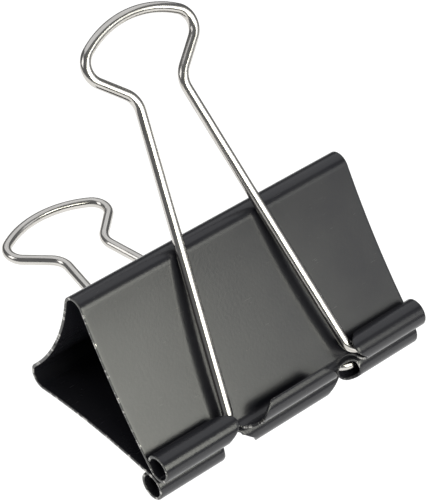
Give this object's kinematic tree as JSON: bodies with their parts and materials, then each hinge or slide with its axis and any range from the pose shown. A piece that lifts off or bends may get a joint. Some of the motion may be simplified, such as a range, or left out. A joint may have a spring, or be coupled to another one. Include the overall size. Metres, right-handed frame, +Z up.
{
  "type": "binder clip",
  "caption": "Large foldback binder clip: a folded black spring-steel body with rolled jaw edges, and a bowed wire handle hinged in each jaw.",
  "frame": {"origin": "centre of the bounding box's base, on the surface the clip lies on", "axes": "+X along the jaws' edges, -Y out of the mouth, +Z up, with the clip lying on its rear jaw's tubes and its rear handle"},
  "size_m": [0.051, 0.0638, 0.0543],
  "materials": {
    "black_painted_steel": "semi-gloss black paint",
    "nickel_wire": "polished nickel plate"
  },
  "bodies": {
    "spine": {"spine": "black_painted_steel"},
    "front_jaw": {"front_jaw": "black_painted_steel"},
    "rear_jaw": {"rear_jaw": "black_painted_steel"},
    "front_handle": {"front_handle": "nickel_wire"},
    "rear_handle": {"rear_handle": "nickel_wire"}
  },
  "joints": [
    {"name": "front_jaw_flex", "type": "hinge", "parent": "spine", "child": "front_jaw", "pos_m": [0, -0.01122, 0.02653], "axis": [-1, 0, 0], "range_deg": [0, 26], "stiffness_Nm_per_rad": 1.2},
    {"name": "rear_jaw_flex", "type": "hinge", "parent": "spine", "child": "rear_jaw", "pos_m": [0, -0.00069, 0.00387], "axis": [1, 0, 0], "range_deg": [0, 26], "stiffness_Nm_per_rad": 1.2},
    {"name": "front_handle_hinge", "type": "hinge", "parent": "front_jaw", "child": "front_handle", "pos_m": [0, -0.0297, 0.00676], "axis": [1, 0, 0], "range_deg": [0, 152]},
    {"name": "rear_handle_hinge", "type": "hinge", "parent": "rear_jaw", "child": "rear_handle", "pos_m": [0, -0.02831, 0.00222], "axis": [-1, 0, 0], "range_deg": [0, 152]}
  ]
}
